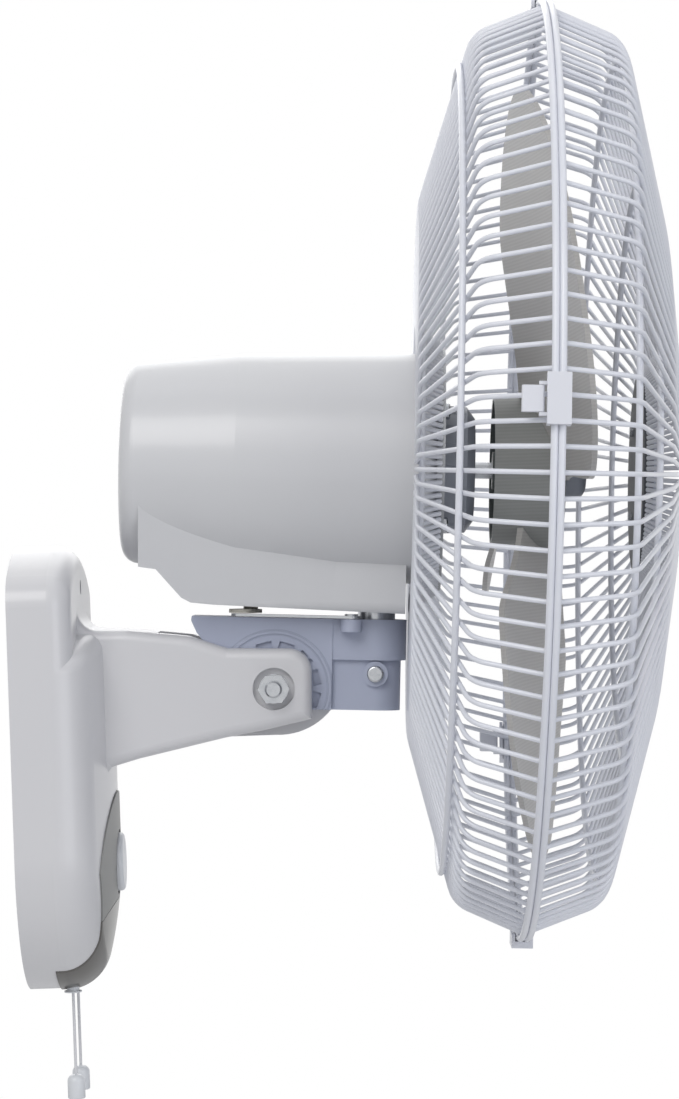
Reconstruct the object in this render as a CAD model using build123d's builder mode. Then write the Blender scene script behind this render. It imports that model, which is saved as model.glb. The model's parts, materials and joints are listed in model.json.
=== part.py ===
from build123d import *
import math
import os

os.makedirs("parts", exist_ok=True)

# Wall mounted fan. Millimetres, +Z up, +X away from the wall, origin in the middle
# of the wall face of the mounting plate. The head is drawn level and then tipped
# nose-down about the tilt bolt by head_tilt, as it stands at rest.

# ---------------------------------------------------------------- driving dimensions
# clearances
running_gap = 0.05
seam_gap = 0.3
press_gap = 0.02

# base on the wall: a flat dome with a deeper, crowned lower body
base_width = 132.0
base_height = 212.0
base_depth_top = 29.6
base_depth_low = 43.6
base_wall = 2.6
base_crown_radius = 205.0
base_edge_radius = 20.0
base_top_radius = 127.0
base_corner_radius = 16.0
dome_edge_radius = 11.0
shoulder_z = 67.0
shoulder_radius = 145.0
shoulder_edge_radius = 8.0
plate_thickness = 2.0
plate_side_margin = 24.0
plate_end_margin = 18.0
plate_corner_radius = 16.0
plate_hole_diameter = 5.5
plate_hole_pitch_y = 56.0
plate_hole_pitch_z = 110.0
plate_boss_radius = 5.5
wiring_slot = (40.0, 22.0)
wiring_slot_z = -26.0
base_screw_drop = 20.0
base_screw_diameter = 4.0
base_screw_head = 6.4
base_screw_recess = 6.0
base_screw_head_height = 2.4

# arm and yoke
arm_half_width = 30.0
arm_wall = 3.0
arm_edge_radius = 5.0
arm_root_radius = 10.0
arm_top_z = 65.0
pivot_x = 121.6
pivot_z = 35.0
cheek_reach = 18.4
cheek_rise = 18.8
cheek_end_radius = 11.0
tongue_half_width = 9.6
tongue_radius = 28.9
tongue_gap = 0.5
cheek_inner_y = 15.6
nut_recess_diameter = 20.0
nut_recess_depth = 3.4
tilt_bolt_diameter = 8.0
tilt_nut_across_flats = 13.0
tilt_nut_height = 6.5
washer_thickness = 1.5
washer_diameter = 14.0
head_tilt = 3.2

# tilt bracket (head frame)
bracket_plate_inner_y = 10.0
bracket_plate_outer_y = 15.2
detent_disc_radius = 27.0
bracket_top_z = 68.4
bracket_block_half_width = 14.0
swivel_x = 169.5
swivel_post_diameter = 18.0
swivel_bush_wall = 1.5
lock_screw_z = 42.4

# swing linkage
crank_arm_length = 60.5
crank_throw = 13.0
crank_rest_angle = -110.0
link_anchor_back = 12.0
link_anchor_side = -18.0
link_thickness = 1.2
link_pin_diameter = 4.0

# motor (head frame)
fan_axis_z = 141.0
ring_plane_x = 242.5
housing_back_x = 44.6
housing_front_x = 186.0
housing_radius_back = 47.4
housing_radius_middle = 53.3
housing_radius_front = 55.3
housing_middle_x = 101.7
housing_corner_radius = 8.0
housing_wall = 2.5
gear_box_half_width = 30.0
gear_box_floor_z = 73.6
gear_box_drop = 2.0
gear_box_edge_radius = 5.0
front_cover_x = 196.0
shaft_diameter = 8.0
stator_outer_diameter = 84.0
rotor_core_diameter = 46.0
stator_length = 36.0
stator_centre_x = 118.0
bearing_outer_diameter = 22.0
bearing_width = 7.0
swing_motor_diameter = 42.0
swing_motor_height = 17.0
swing_shaft_diameter = 7.0

# guards
guard_diameter = 450.0
rim_wire = 3.2
guard_wire = 2.2
hoop_wire = 3.0
wire_count = 126
rear_guard_depth = 56.4
rear_face_radius = 128.0
front_guard_depth = 66.0
front_face_radius = 125.0
guard_plate_diameter = 116.6
guard_plate_thickness = 3.0
guard_plate_front_x = 199.7
guard_screw_circle = 76.0
ring_nut_diameter = 61.6
ring_nut_length = 15.0
badge_diameter = 96.0
badge_back_u = 50.4
badge_split_u = 55.0
badge_front_u = 59.8
clip_width = 22.0

# fan blade
hub_diameter = 73.2
hub_back_u = -18.8
hub_length = 34.0
blade_count = 3
blade_tip_gap = 39.0
blade_thickness = 2.4
blade_arc = 88.0
blade_front_u = 22.0
blade_back_u = -16.0
blade_first_angle = -2.0

# controls
panel_proud = 0.7
knob_diameter = 28.0
knob_z = -46.5
knob_front_x = 46.4
knob_recess_x = 38.0
cord_diameter = 1.4
cord_spacing = 28.0
cord_exit_x = 20.5
cord_free_length = 40.0
cord_inside_length = 20.0
bell_diameter = 8.4
bell_height = 11.6
pull_switch_width = 20.0
pull_switch_height = 22.0
pull_switch_rise = 11.0
eyelet_radius = 3.0
grommet_x = 11.0
grommet_z = -30.0
grommet_radius = 4.5

# ---------------------------------------------------------------- axes and helpers
pivot_axis = Axis((pivot_x, 0, pivot_z), (0, 1, 0))
fan_axis = Axis((0, 0, fan_axis_z), (1, 0, 0))
base_round_z = (base_width - base_height) / 2
base_screw_z = base_height / 2 - base_screw_drop
cheek_end_x = pivot_x + cheek_reach
crank_x = swivel_x - crank_arm_length
crank_angle = math.radians(crank_rest_angle)
crank_pin_x = crank_x + crank_throw * math.cos(crank_angle)
crank_pin_y = crank_throw * math.sin(crank_angle)
anchor_x = swivel_x - link_anchor_back
anchor_y = link_anchor_side


def save(shape, name, on_head=False):
    """Label a finished piece, tip it with the head where it rides on it, and write it."""
    turn = head_tilt if on_head else 0.0
    solids = [solid.rotate(pivot_axis, turn) for solid in shape.solids()]
    placed = solids[0] if len(solids) == 1 else Compound(solids)
    placed.label = name
    export_step(placed, f"parts/{name}.step")


def group(shapes):
    """Hold several separate solids as one piece."""
    return Compound([solid for shape in shapes for solid in shape.solids()])


def around(shape, angles):
    """Copies of a shape turned about the fan axis, one for each angle."""
    return [shape.rotate(fan_axis, angle) for angle in angles]


def hoop_arcs(u, radius, wire, pieces=12):
    """A hoop of round wire, u in front of the rim plane, as arcs that meet end to end."""
    with BuildPart() as arc:
        with BuildSketch(Plane.XZ):
            with Locations((ring_plane_x + u, fan_axis_z + radius)):
                Circle(wire / 2)
        revolve(axis=fan_axis, revolution_arc=360 / pieces)
    return around(arc.part, [360 / pieces * i for i in range(pieces)])


def cylinder_x(x0, x1, radius, z, y=0.0):
    """A plain rod along X."""
    with BuildPart() as rod:
        with BuildSketch(Plane.YZ.offset(x0)):
            with Locations((y, z)):
                Circle(radius)
        extrude(amount=x1 - x0)
    return rod.part


# ---------------------------------------------------------------- base on the wall
def lower_body(inset, back):
    """The deep lower part: one crowned profile, run down the sides and round the bottom."""
    half = base_width / 2 - inset
    front = base_depth_low - inset
    side_x = base_depth_low - base_crown_radius + math.sqrt((base_crown_radius - inset) ** 2 - half**2)
    bend_x = base_depth_low - base_crown_radius + math.sqrt((base_crown_radius - inset) ** 2 - half**2 / 4)
    with BuildPart() as body:
        with BuildSketch(Plane.XY.offset(base_round_z)) as across:
            with BuildLine():
                ThreePointArc((side_x, -half), (front, 0), (side_x, half))
                Polyline((side_x, half), (back, half), (back, -half), (side_x, -half))
            make_face()
            fillet(across.vertices().group_by(Axis.X)[-1], base_edge_radius - inset)
        extrude(amount=shoulder_z - base_round_z)
        with BuildSketch(Plane.YZ.offset(back)):
            with Locations((0, shoulder_z - shoulder_radius)):
                Circle(shoulder_radius - inset)
        extrude(amount=2 * base_depth_low, mode=Mode.INTERSECT)
        shoulder = body.faces().sort_by(Axis.Z)[-1]
        fillet(shoulder.edges().filter_by(lambda edge: edge.center().X > back + 1), shoulder_edge_radius - inset)
        with BuildSketch(Plane.XY.offset(base_round_z)) as turned:
            with BuildLine():
                ThreePointArc((side_x, -half), (bend_x, -half / 2), (front, 0))
                Polyline((front, 0), (back, 0), (back, -half), (side_x, -half))
            make_face()
            fillet(turned.vertices().group_by(Axis.Y)[0].sort_by(Axis.X)[-1], base_edge_radius - inset)
        revolve(axis=Axis((0, 0, base_round_z), (1, 0, 0)), revolution_arc=180)
    return body.part


def dome_body(inset, back):
    """The shallow upper part behind the arm, its front edge well rounded."""
    half = base_width / 2 - inset
    with BuildPart() as dome:
        with BuildSketch(Plane.YZ.offset(back)) as outline:
            with Locations((0, base_height / 2 - base_top_radius)):
                Circle(base_top_radius - inset)
            with Locations((0, base_round_z + base_height)):
                Rectangle(2 * half, 2 * base_height, mode=Mode.INTERSECT)
            fillet(outline.vertices().group_by(Axis.Y)[-1], base_corner_radius - inset)
        extrude(amount=base_depth_top - inset - back)
        rim = dome.faces().sort_by(Axis.X)[-1].edges()
        fillet(rim.filter_by(lambda edge: edge.center().Z > base_round_z + 1), dome_edge_radius - inset)
    return dome.part


def base_body(inset, back=0.0):
    """The base's closed body, every face moved inwards by inset."""
    with BuildPart() as body:
        add(lower_body(inset, back))
        add(dome_body(inset, back))
    return body.part


base_outer = base_body(0)
base_inner = base_body(base_wall, back=-1)
with BuildPart() as arm_outer:
    with BuildSketch(Plane.XZ) as arm_side:
        with BuildLine():
            Polyline(
                (base_depth_top - 8, arm_top_z + arm_root_radius + 2),
                (base_depth_top, arm_top_z + arm_root_radius + 2),
                (base_depth_top, arm_top_z + 0.8),
                (53, arm_top_z),
                (82, arm_top_z - 3.8),
                (100, pivot_z + cheek_rise + 0.9),
                (cheek_end_x, pivot_z + cheek_rise - 0.6),
                (cheek_end_x - 1, pivot_z - 15),
                (pivot_x - 6, pivot_z - 19.7),
                (98, 12.6),
                (57, 4.1),
                (base_depth_low, 0.5),
                (base_depth_low - 6, -8),
                (base_depth_top - 8, -8),
                close=True,
            )
        make_face()
        root = arm_side.vertices().filter_by(lambda corner: abs(corner.Y - arm_top_z - 0.8) < 0.1)
        fillet(root, arm_root_radius)
        end = arm_side.vertices().group_by(Axis.X)[-1]
        fillet(end, cheek_end_radius)
    extrude(amount=arm_half_width, both=True)
    side_edges = arm_outer.faces().filter_by(Axis.Y).edges()
    fillet(side_edges.filter_by(lambda edge: edge.center().X > base_depth_low - 3.5), arm_edge_radius)
slot_back_x = pivot_x - 55

# the yoke's gap: room for the bracket's plates, open above, ahead and below the disc
with BuildPart() as yoke_gap:
    with BuildSketch(Plane.XZ):
        with Locations((pivot_x, pivot_z)):
            Circle(detent_disc_radius + 1.5)
        Polygon(
            (slot_back_x, 45), (slot_back_x, 80), (cheek_end_x + 20, 80),
            (cheek_end_x + 20, pivot_z - 14.5), (pivot_x, pivot_z - 14.5),
            (pivot_x - 24, pivot_z), align=None,
        )
    extrude(amount=cheek_inner_y, both=True)

# web between the cheeks, round where the bracket turns about it
tongue_floor_z = pivot_z - 22.8
tongue_back_x = pivot_x - 36
with BuildPart() as tongue:
    with BuildSketch(Plane.XZ):
        with Locations((pivot_x, pivot_z)):
            Circle(tongue_radius)
        with BuildLine():
            Polyline((pivot_x, tongue_floor_z), (tongue_back_x, tongue_floor_z), (tongue_back_x, pivot_z + 5))
            Line((tongue_back_x, pivot_z + 5), (pivot_x + tongue_radius, pivot_z + 5))
            Line((pivot_x + tongue_radius, pivot_z + 5), (pivot_x + 26.4, pivot_z - 11.8))
            ThreePointArc(
                (pivot_x + 26.4, pivot_z - 11.8),
                (pivot_x + 14.3, pivot_z - 20.5),
                (pivot_x, tongue_floor_z),
            )
        make_face(mode=Mode.INTERSECT)
    extrude(amount=tongue_half_width, both=True)
    with BuildSketch(Plane.XZ):
        with Locations((pivot_x - 18, pivot_z - 8.9)):
            Rectangle(36, 27.8)
    extrude(amount=tongue_half_width, both=True)

# control panel on the front, and the cover that wraps under the base below it
shield_half_width = 48.0
shield_wide_z = base_round_z - 8
shield_top_z = -12.5
flap_half_width = 38.0
flap_top_z = base_round_z - 40
cover_back_x = 15.0
cover_seam_z = -64.0
cover_seam_radius = 120.0


def shield(grow):
    """The outline of panel and cover together, cut into the base from its front."""
    half = shield_half_width + grow
    flap = flap_half_width + grow
    end_z = -base_height
    with BuildPart() as prism:
        with BuildSketch(Plane.YZ.offset(cover_back_x - grow)):
            with BuildLine():
                ThreePointArc((-half, shield_wide_z), (0, shield_top_z + grow), (half, shield_wide_z))
                Polyline(
                    (half, shield_wide_z), (flap, flap_top_z), (flap, end_z),
                    (-flap, end_z), (-flap, flap_top_z), (-half, shield_wide_z),
                )
            make_face()
        extrude(amount=2 * base_depth_low)
    return prism.part


def below_seam(grow):
    """Everything under the arched seam between the panel and the cover."""
    with BuildPart() as drum:
        with BuildSketch(Plane.YZ):
            with Locations((0, cover_seam_z - cover_seam_radius)):
                Circle(cover_seam_radius + grow)
        extrude(amount=2 * base_depth_low)
    return drum.part


with BuildPart() as base_housing:
    add(base_outer)
    add(arm_outer.part)
    add(base_inner, mode=Mode.SUBTRACT)
    # hollow of the arm, up to the wall behind the yoke's gap
    with BuildSketch(Plane.XZ):
        Polygon(
            (base_wall, 8), (base_wall, 60), (52, 58), (slot_back_x - 4, 56),
            (slot_back_x - 4, 12), (54, 9), (44, 6), align=None,
        )
    extrude(amount=arm_half_width - arm_wall, both=True, mode=Mode.SUBTRACT)
    add(yoke_gap.part, mode=Mode.SUBTRACT)
    add(tongue.part)
    # tube for the screw that holds the base on its wall plate
    with BuildSketch(Plane.YZ.offset(plate_thickness + seam_gap)):
        with Locations((0, base_screw_z)):
            Circle(plate_boss_radius)
    extrude(until=Until.NEXT)
    with BuildSketch(Plane.YZ):
        with Locations((0, base_screw_z)):
            Circle(base_screw_diameter / 2 + 0.2)
    extrude(amount=base_depth_top, mode=Mode.SUBTRACT)
    with BuildSketch(Plane.YZ.offset(base_depth_top - base_screw_recess)):
        with Locations((0, base_screw_z)):
            Circle(base_screw_head / 2 + seam_gap)
    extrude(amount=10, mode=Mode.SUBTRACT)
    # tilt bolt bore and the round pockets for its nut and head
    with BuildSketch(Plane.XZ):
        with Locations((pivot_x, pivot_z)):
            Circle(tilt_bolt_diameter / 2 + running_gap)
    extrude(amount=arm_half_width + 1, both=True, mode=Mode.SUBTRACT)
    for side in (1, -1):
        with BuildSketch(Plane.XZ.offset(side * (arm_half_width - nut_recess_depth))):
            with Locations((pivot_x, pivot_z)):
                Circle(nut_recess_diameter / 2)
        extrude(amount=side * nut_recess_depth, mode=Mode.SUBTRACT)
    add(shield(seam_gap), mode=Mode.SUBTRACT)
    # hole for the mains inlet
    with BuildSketch(Plane.XZ.offset(-base_width / 2 + 6)):
        with Locations((grommet_x, grommet_z)):
            Circle(grommet_radius + press_gap)
    extrude(amount=-10, mode=Mode.SUBTRACT)

screw_shank_radius = base_screw_diameter / 2 - 0.1
with BuildPart() as wall_plate:
    with BuildSketch(Plane.YZ) as plate_face:
        Rectangle(base_width - 2 * plate_side_margin, base_height - 2 * plate_end_margin)
        fillet(plate_face.vertices(), plate_corner_radius)
        with GridLocations(plate_hole_pitch_y, plate_hole_pitch_z, 2, 2):
            Circle(plate_hole_diameter / 2, mode=Mode.SUBTRACT)
        with Locations((0, base_screw_z)):
            Circle(plate_boss_radius)
            Circle(screw_shank_radius, mode=Mode.SUBTRACT)
        with Locations((0, wiring_slot_z)):
            SlotOverall(*wiring_slot, rotation=90, mode=Mode.SUBTRACT)
    extrude(amount=plate_thickness)

screw_tip_x = 0.5
screw_seat_x = base_depth_top - base_screw_recess + press_gap
with BuildPart() as base_screw:
    with BuildSketch(Plane.YZ.offset(screw_tip_x)):
        with Locations((0, base_screw_z)):
            Circle(screw_shank_radius)
    extrude(amount=screw_seat_x - screw_tip_x)
    with BuildSketch(Plane.YZ.offset(screw_seat_x)):
        with Locations((0, base_screw_z)):
            Circle(base_screw_head / 2)
    extrude(amount=base_screw_head_height)
    fillet(base_screw.faces().sort_by(Axis.X)[-1].edges(), 0.8)
    with BuildSketch(Plane.YZ.offset(screw_seat_x + base_screw_head_height / 2)):
        with Locations((0, base_screw_z)):
            Rectangle(4.4, 1.1)
            Rectangle(1.1, 4.4)
    extrude(amount=base_screw_head_height, mode=Mode.SUBTRACT)

panel_skin = base_body(-panel_proud)
with BuildPart() as control_panel:
    add(panel_skin)
    add(base_inner, mode=Mode.SUBTRACT)
    add(shield(0), mode=Mode.INTERSECT)
    add(below_seam(seam_gap), mode=Mode.SUBTRACT)
    with BuildSketch(Plane.YZ.offset(knob_recess_x)):
        with Locations((0, knob_z)):
            Circle(knob_diameter / 2 + 1.6)
    extrude(amount=20, mode=Mode.SUBTRACT)
    with BuildSketch(Plane.YZ.offset(knob_recess_x - base_wall)):
        with Locations((0, knob_z)):
            Circle(knob_diameter / 2 + 3.6)
            Circle(3.4, mode=Mode.SUBTRACT)
    extrude(amount=base_wall)

with BuildPart() as bottom_cover:
    add(panel_skin)
    add(base_inner, mode=Mode.SUBTRACT)
    add(shield(0), mode=Mode.INTERSECT)
    add(below_seam(0), mode=Mode.INTERSECT)
    # holes for the two pull cords' eyelets
    with BuildSketch(Plane.XY.offset(-base_height / 2 - 5)):
        with Locations((cord_exit_x, cord_spacing / 2), (cord_exit_x, -cord_spacing / 2)):
            Circle(eyelet_radius)
    extrude(amount=12, mode=Mode.SUBTRACT)

# ---------------------------------------------------------------- switches and controls
spindle_diameter = 6.0
switch_front_x = knob_recess_x - base_wall - 0.3
with BuildPart() as speed_switch:
    with BuildSketch(Plane.YZ.offset(plate_thickness + 8)) as switch_outline:
        with Locations((0, knob_z)):
            Rectangle(32, 28)
        fillet(switch_outline.vertices(), 3)
    extrude(amount=switch_front_x - plate_thickness - 8)
    with BuildSketch(Plane.YZ.offset(plate_thickness + 2.3)):
        with Locations((0, knob_z)):
            with GridLocations(9, 18, 3, 2):
                Rectangle(5, 0.8)
    extrude(amount=5.7)
    with BuildSketch(Plane.YZ.offset(switch_front_x - 8)):
        with Locations((0, knob_z)):
            Circle(spindle_diameter / 2 + running_gap)
    extrude(amount=10, mode=Mode.SUBTRACT)

with BuildPart() as knob_spindle:
    add(cylinder_x(switch_front_x - 7.8, knob_front_x - 3.2, spindle_diameter / 2, knob_z))

with BuildPart() as speed_knob:
    add(cylinder_x(knob_recess_x + 0.4, knob_front_x, knob_diameter / 2, knob_z))
    fillet(speed_knob.faces().sort_by(Axis.X)[-1].edges(), 2.0)
    with BuildSketch(Plane.YZ.offset(knob_front_x - 1.0)):
        with Locations((0, knob_z + knob_diameter / 4)):
            Rectangle(1.6, 6.0)
    extrude(amount=2, mode=Mode.SUBTRACT)
    with BuildSketch(Plane.YZ.offset(knob_recess_x)):
        with Locations((0, knob_z)):
            Circle(spindle_diameter / 2)
    extrude(amount=knob_front_x - 3.2 - knob_recess_x, mode=Mode.SUBTRACT)

pull_front_x = cord_exit_x + 3.5
pull_switch_z = -base_height / 2 + pull_switch_rise
eyelet_top_z = -base_height / 2 + base_wall + 1.6
eyelet_low_z = -base_height / 2 - panel_proud - 0.1
eyelets = []
for name, side in (("speed", -1), ("swing", 1)):
    cord_y = side * cord_spacing / 2
    with BuildPart() as pull_switch:
        with BuildSketch(Plane.XY.offset(pull_switch_z)):
            with Locations(((plate_thickness + pull_front_x) / 2, cord_y)):
                Rectangle(pull_front_x - plate_thickness, pull_switch_width)
        extrude(amount=pull_switch_height)
        with BuildSketch(Plane.XY.offset(pull_switch_z)):
            with Locations((cord_exit_x, cord_y)):
                Circle(2.4)
        extrude(amount=pull_switch_height - 2, mode=Mode.SUBTRACT)
    save(pull_switch.part, f"{name}_pull_switch")
    with BuildPart() as eyelet:
        with BuildSketch(Plane.XY.offset(eyelet_low_z)):
            with Locations((cord_exit_x, cord_y)):
                Circle(eyelet_radius + 1.2)
        extrude(amount=0.7)
        with BuildSketch(Plane.XY.offset(eyelet_low_z)):
            with Locations((cord_exit_x, cord_y)):
                Circle(eyelet_radius - press_gap)
        extrude(amount=eyelet_top_z - eyelet_low_z)
        with BuildSketch(Plane.XY.offset(-base_height / 2 - 2)):
            with Locations((cord_exit_x, cord_y)):
                Circle(cord_diameter / 2 + 0.5)
        extrude(amount=12, mode=Mode.SUBTRACT)
    eyelets.append(eyelet.part)
    cord_low_z = -base_height / 2 - cord_free_length
    cord_top_z = -base_height / 2 + cord_inside_length
    with BuildPart() as pull_cord:
        with BuildSketch(Plane.XY.offset(cord_low_z)):
            with Locations((cord_exit_x, cord_y)):
                Circle(cord_diameter / 2)
        extrude(amount=cord_top_z - cord_low_z)
    save(pull_cord.part, f"{name}_cord")
    with BuildPart() as cord_bell:
        with BuildSketch(Plane.XZ.offset(-cord_y)):
            with BuildLine():
                Polyline(
                    (cord_exit_x, cord_low_z),
                    (cord_exit_x + 1.6, cord_low_z),
                    (cord_exit_x + 2.2, cord_low_z - 1.6),
                    (cord_exit_x + bell_diameter / 2 - 0.3, cord_low_z - bell_height + 2.5),
                    (cord_exit_x + bell_diameter / 2, cord_low_z - bell_height + 1.0),
                    (cord_exit_x + bell_diameter / 2 - 0.8, cord_low_z - bell_height),
                    (cord_exit_x, cord_low_z - bell_height),
                    close=True,
                )
            make_face()
        revolve(axis=Axis((cord_exit_x, cord_y, 0), (0, 0, 1)))
    save(cord_bell.part, f"{name}_cord_bell")
    with BuildPart() as cord_hook:
        with BuildSketch(Plane.XY.offset(cord_top_z)):
            with Locations((cord_exit_x, cord_y)):
                Circle(2.0)
        extrude(amount=2.5)
    save(cord_hook.part, f"{name}_cord_hook")
save(group(eyelets), "cord_eyelets")

plate_side_y = base_width / 2 - plate_side_margin
terminal_y = 10 - plate_side_y
capacitor_y = plate_side_y - 12
with BuildPart() as terminal_block:
    with BuildSketch(Plane.YZ.offset(plate_thickness)):
        with Locations((terminal_y, 12)):
            Rectangle(14, 46)
    extrude(amount=13)
    with BuildSketch(Plane.YZ.offset(plate_thickness + 8)):
        with Locations((terminal_y, 12)):
            with GridLocations(1, 11, 1, 4):
                Circle(2.2)
    extrude(amount=10, mode=Mode.SUBTRACT)

with BuildPart() as run_capacitor:
    with BuildSketch(Plane.YZ.offset(plate_thickness)) as capacitor_outline:
        with Locations((capacitor_y, 40)):
            Rectangle(20, 38)
        fillet(capacitor_outline.vertices(), 1.5)
    extrude(amount=16)

with BuildPart() as inlet_grommet:
    with BuildSketch(Plane.XZ.offset(-base_width / 2 + 4)):
        with Locations((grommet_x, grommet_z)):
            Circle(grommet_radius)
    extrude(amount=-5.5)
    with BuildSketch(Plane.XZ.offset(-base_width / 2 - press_gap)):
        with Locations((grommet_x, grommet_z)):
            Circle(grommet_radius + 1.5)
    extrude(amount=-1.5)
    with BuildSketch(Plane.XZ.offset(-base_width / 2 + 6)):
        with Locations((grommet_x, grommet_z)):
            Circle(grommet_radius - 1.3)
    extrude(amount=-12, mode=Mode.SUBTRACT)

# ---------------------------------------------------------------- tilt joint hardware
bolt_seat_y = arm_half_width - nut_recess_depth
nut_start_y = bolt_seat_y + washer_thickness
with BuildPart() as tilt_bolt:
    with BuildSketch(Plane.XZ.offset(-nut_start_y)):
        with Locations((pivot_x, pivot_z)):
            Circle(tilt_bolt_diameter / 2)
    extrude(amount=2 * nut_start_y + tilt_nut_height + 4.5)
    chamfer(tilt_bolt.faces().sort_by(Axis.Y)[0].edges(), 0.8)
    with BuildSketch(Plane.XZ.offset(-nut_start_y)):
        with Locations((pivot_x, pivot_z)):
            RegularPolygon(tilt_nut_across_flats / 2, 6, major_radius=False)
    extrude(amount=-5.3)

with BuildPart() as tilt_nut:
    with BuildSketch(Plane.XZ.offset(nut_start_y)):
        with Locations((pivot_x, pivot_z)):
            RegularPolygon(tilt_nut_across_flats / 2, 6, major_radius=False)
            Circle(tilt_bolt_diameter / 2, mode=Mode.SUBTRACT)
    extrude(amount=tilt_nut_height)

washers = []
for start in (bolt_seat_y, -nut_start_y):
    with BuildPart() as washer:
        with BuildSketch(Plane.XZ.offset(start)):
            with Locations((pivot_x, pivot_z)):
                Circle(washer_diameter / 2)
                Circle(tilt_bolt_diameter / 2 + 0.2, mode=Mode.SUBTRACT)
        extrude(amount=washer_thickness)
    washers.append(washer.part)

# ---------------------------------------------------------------- tilt bracket
block_left_x = 148.8
block_bottom_z = 25.0
block_step_z = 49.0
block_low_radius = 12.2
block_high_radius = 14.6
head_left_x = 137.0
bush_radius = swivel_post_diameter / 2 + swivel_bush_wall
post_bottom_z = block_bottom_z + 4
with BuildPart() as tilt_bracket:
    with BuildSketch(Plane.XZ) as plate_side:
        with BuildLine():
            Polyline(
                (81.5, bracket_top_z), (81.0, 66.5), (84, 60.4), (88.7, 54.8),
                (pivot_x - detent_disc_radius + 2, 47), (pivot_x - detent_disc_radius, pivot_z),
                (pivot_x - detent_disc_radius + 3, block_bottom_z), (block_left_x, block_bottom_z),
                (block_left_x, bracket_top_z), close=True,
            )
        make_face()
        fillet(plate_side.vertices().group_by(Axis.X)[0], 3)
    extrude(amount=bracket_plate_outer_y, both=True)
    # gap between the two plates, round the arm's tongue
    with BuildSketch(Plane.XZ):
        with Locations((pivot_x, pivot_z)):
            Circle(tongue_radius + tongue_gap)
        Polygon(
            (60, 0), (60, 40), (88, 46), (pivot_x - 12, 58), (pivot_x, 60),
            (pivot_x + 26, 48), (pivot_x + 26, 0), align=None,
        )
    extrude(amount=bracket_plate_inner_y, both=True, mode=Mode.SUBTRACT)
    # pivot bore
    with BuildSketch(Plane.XZ):
        with Locations((pivot_x, pivot_z)):
            Circle(tilt_bolt_diameter / 2 + running_gap)
    extrude(amount=30, both=True, mode=Mode.SUBTRACT)
    # windows of the detent disc
    for side in (1, -1):
        with BuildSketch(Plane.XZ.offset(side * (bracket_plate_outer_y - 1.6))) as windows:
            with Locations((pivot_x, pivot_z)):
                with PolarLocations(20.2, 8, start_angle=-15, angular_range=240):
                    Rectangle(3.8, 7.6)
        extrude(amount=side * 3, mode=Mode.SUBTRACT)
    # swivel block, round ahead of the swivel so the guard's wires pass it
    for low_z, high_z, left_x, radius in (
        (block_bottom_z, block_step_z, block_left_x, block_low_radius),
        (block_step_z, bracket_top_z, head_left_x, block_high_radius),
    ):
        with BuildSketch(Plane.XY.offset(low_z)):
            with Locations(((left_x + swivel_x) / 2, 0)):
                Rectangle(swivel_x - left_x, 2 * min(bracket_plate_outer_y, radius))
            with Locations((swivel_x, 0)):
                Circle(radius)
        extrude(amount=high_z - low_z)
    with BuildSketch(Plane.XZ):
        with Locations((pivot_x, pivot_z)):
            Circle(tongue_radius + tongue_gap)
    extrude(amount=bracket_plate_inner_y, both=True, mode=Mode.SUBTRACT)
    with BuildSketch(Plane.XY.offset(block_bottom_z + 2)):
        with Locations((swivel_x, 0)):
            Circle(bush_radius)
    extrude(amount=60, mode=Mode.SUBTRACT)
    # lock screw boss on the near side and its threaded bore
    with BuildSketch(Plane.XZ.offset(bush_radius + press_gap)):
        with Locations((swivel_x, lock_screw_z)):
            Circle(6.0)
    extrude(amount=bracket_block_half_width - bush_radius - press_gap)
    with BuildSketch(Plane.XZ):
        with Locations((swivel_x, lock_screw_z)):
            Circle(2.0)
    extrude(amount=30, mode=Mode.SUBTRACT)
    with BuildSketch(Plane.XY.offset(bracket_top_z - 6)):
        with Locations((anchor_x, anchor_y)):
            Circle(5)
    extrude(amount=6)
    with BuildSketch(Plane.XY.offset(bracket_top_z - 5)):
        with Locations((anchor_x, anchor_y)):
            Circle(link_pin_diameter / 2)
    extrude(amount=10, mode=Mode.SUBTRACT)

with BuildPart() as swivel_bush:
    with BuildSketch(Plane.XY.offset(block_bottom_z + 2)):
        with Locations((swivel_x, 0)):
            Circle(bush_radius)
    extrude(amount=bracket_top_z - block_bottom_z - 2)
    with BuildSketch(Plane.XY.offset(post_bottom_z - running_gap)):
        with Locations((swivel_x, 0)):
            Circle(swivel_post_diameter / 2 + running_gap)
    extrude(amount=60, mode=Mode.SUBTRACT)
    with BuildSketch(Plane.XZ):
        with Locations((swivel_x, lock_screw_z)):
            Circle(2.0)
    extrude(amount=30, mode=Mode.SUBTRACT)

groove_depth = 2.0
groove_radius = swivel_post_diameter / 2 - groove_depth
with BuildPart() as lock_screw:
    with BuildSketch(Plane.XZ.offset(groove_radius + 0.3)):
        with Locations((swivel_x, lock_screw_z)):
            Circle(2.0 - press_gap)
    extrude(amount=bracket_block_half_width - groove_radius - 0.3)
    with BuildSketch(Plane.XZ.offset(bracket_block_half_width)):
        with Locations((swivel_x, lock_screw_z)):
            Circle(4.0)
    extrude(amount=2.4)
    fillet(lock_screw.faces().sort_by(Axis.Y)[0].edges(), 1.0)
    with BuildSketch(Plane.XZ.offset(bracket_block_half_width + 1.2)):
        with Locations((swivel_x, lock_screw_z)):
            Rectangle(4.6, 1.0)
            Rectangle(1.0, 4.6)
    extrude(amount=2, mode=Mode.SUBTRACT)

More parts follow.
